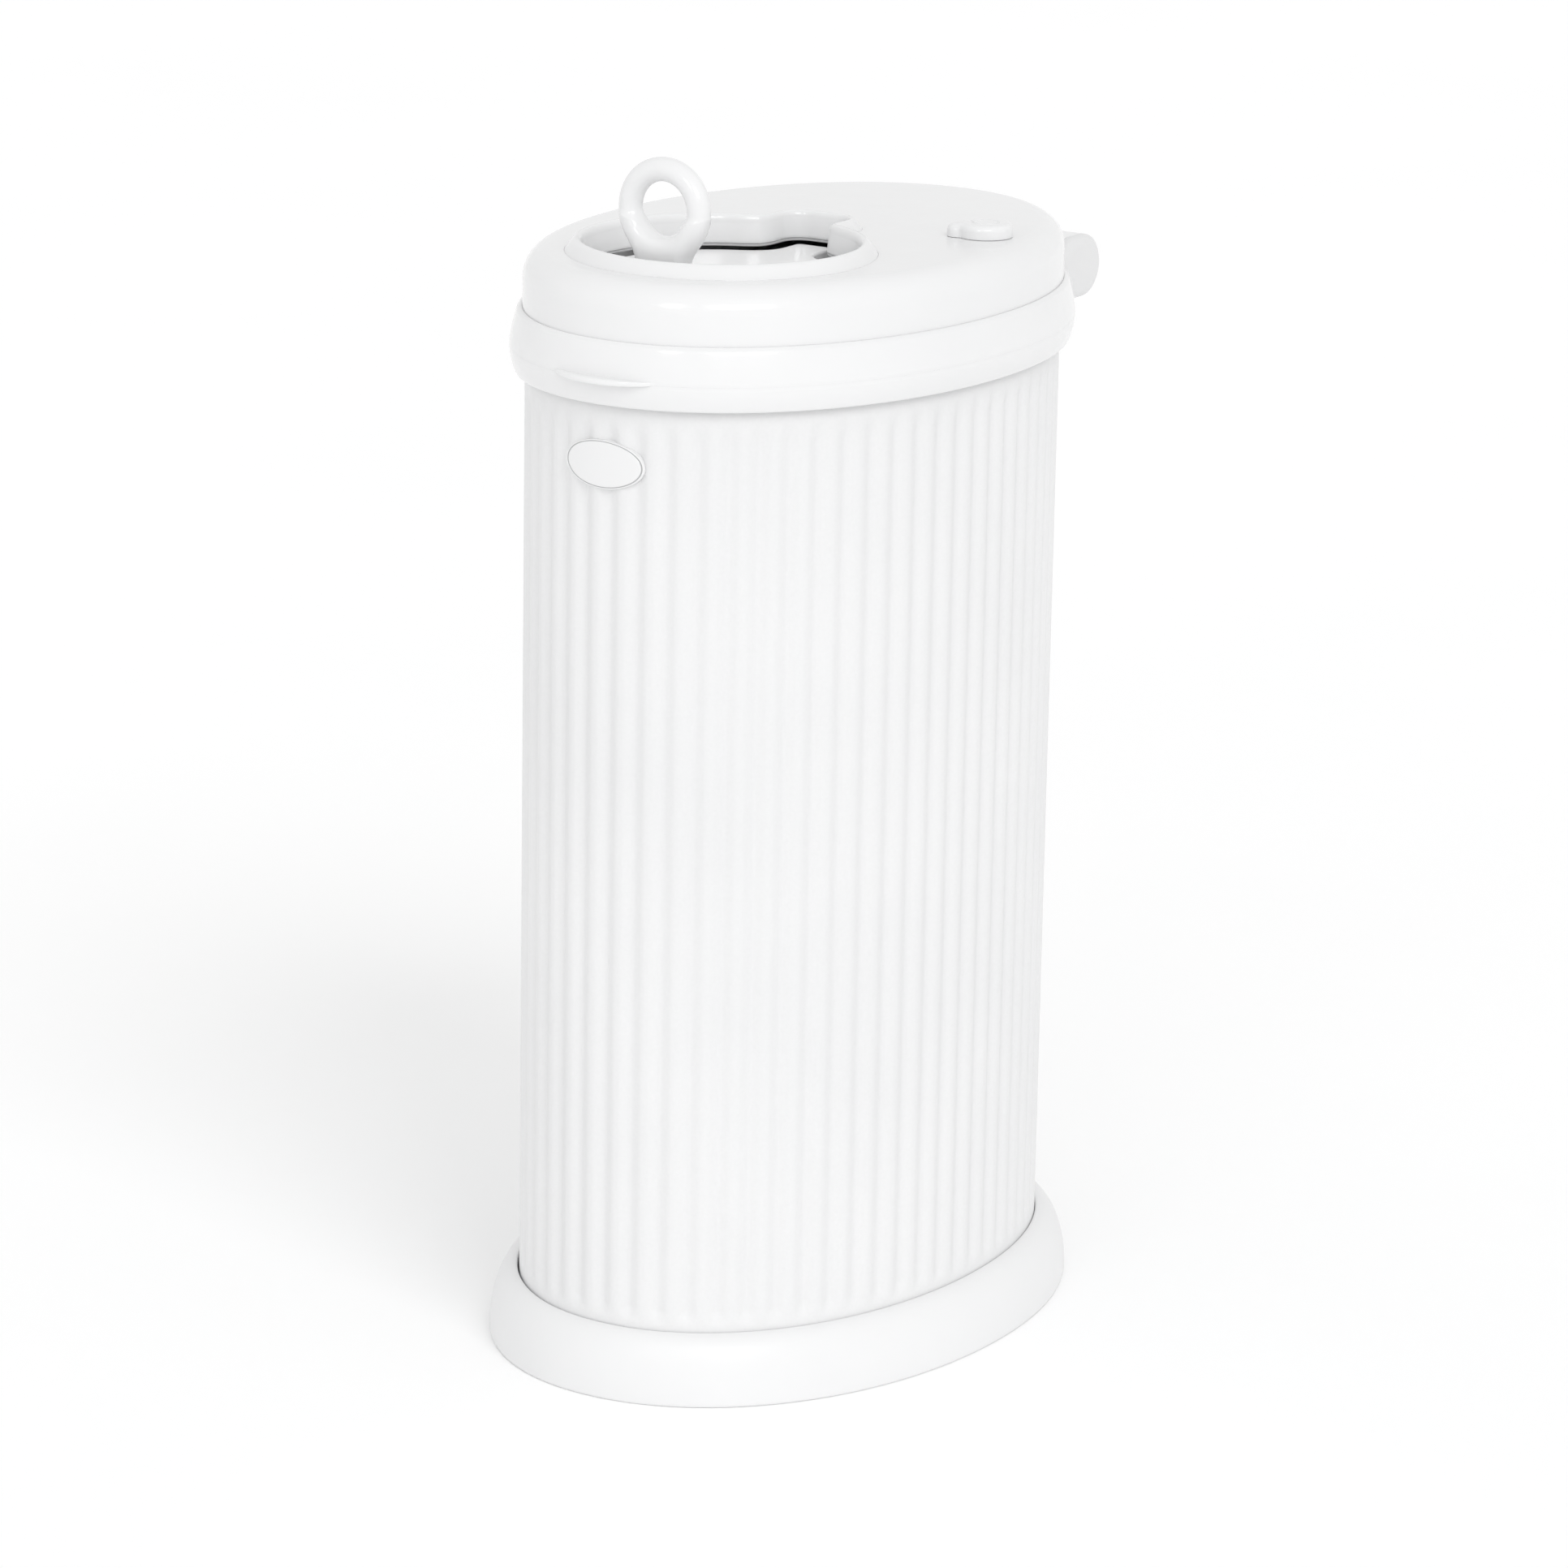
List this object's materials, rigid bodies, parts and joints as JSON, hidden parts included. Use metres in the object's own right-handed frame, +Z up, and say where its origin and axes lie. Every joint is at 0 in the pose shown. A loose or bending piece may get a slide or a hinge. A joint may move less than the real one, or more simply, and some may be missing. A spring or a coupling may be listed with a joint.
{
  "type": "nappy bin",
  "caption": "Tall oval nappy bin with a fluted steel body, flared foot, hinged domed lid, sliding ring-handle door and turn-knob child lock.",
  "frame": {"origin": "centre of the oval body on the floor, at the underside of the middle foot pad", "axes": "+Z up, -Y to the front (lift lip, badge and ring handle), hinge at +Y, +X to the bin's right side"},
  "size_m": [0.2414, 0.3598, 0.5652],
  "materials": {
    "white_plastic": "glossy moulded ABS, white",
    "inner_plastic": "plain moulded plastic, white",
    "white_powder_coat": "satin white powder coat on steel",
    "badge_white": "glossy, blank, with a thin grey edge",
    "grey_rubber": "soft non-slip rubber",
    "seal_rubber": "soft grey seal rubber",
    "screw_steel": "zinc-plated steel"
  },
  "bodies": {
    "bin": {"base_skirt": "white_plastic", "base_pan": "white_plastic", "base_screws": "screw_steel", "foot_pads": "grey_rubber", "steel_shell": "white_powder_coat", "badge": "badge_white", "top_collar": "white_plastic", "bag_ring": "white_plastic", "hinge_bracket": "white_plastic", "hinge_screws": "screw_steel", "hinge_pin": "screw_steel"},
    "lid": {"lid_band": "white_plastic", "lid_cover": "white_plastic", "opening_rim": "white_plastic", "lid_tray": "inner_plastic", "tray_screws": "screw_steel", "rail_left": "inner_plastic", "rail_right": "inner_plastic", "rail_screws": "screw_steel", "door_seal": "seal_rubber", "lid_seal": "seal_rubber", "lid_hinge_leaf": "white_plastic", "leaf_screws": "screw_steel", "hinge_caps": "white_plastic"},
    "door": {"door_panel": "white_plastic", "ring_handle": "white_plastic", "handle_screws": "screw_steel"},
    "lock": {"lock_knob": "white_plastic", "lock_spindle": "inner_plastic"},
    "bolt": {"lock_bolt": "inner_plastic"}
  },
  "joints": [
    {"name": "lid_hinge", "type": "hinge", "parent": "bin", "child": "lid", "pos_m": [0, 0.1764, 0.4795], "axis": [-1, 0, 0], "range_deg": [0, 100]},
    {"name": "door_slide", "type": "slide", "parent": "lid", "child": "door", "axis": [0, 1, 0], "range_m": [0, 0.12]},
    {"name": "lock_turn", "type": "hinge", "parent": "lid", "child": "lock", "pos_m": [0.0755, 0.04, 0.52], "axis": [0, 0, 1], "range_deg": [0, 90]},
    {"name": "bolt_slide", "type": "slide", "parent": "lid", "child": "bolt", "axis": [-1, 0, 0], "range_m": [0, 0.0085]}
  ],
  "couplings": [
    {"joint": "bolt_slide", "follows": "lock_turn", "m_per_rad": 0.005402}
  ]
}
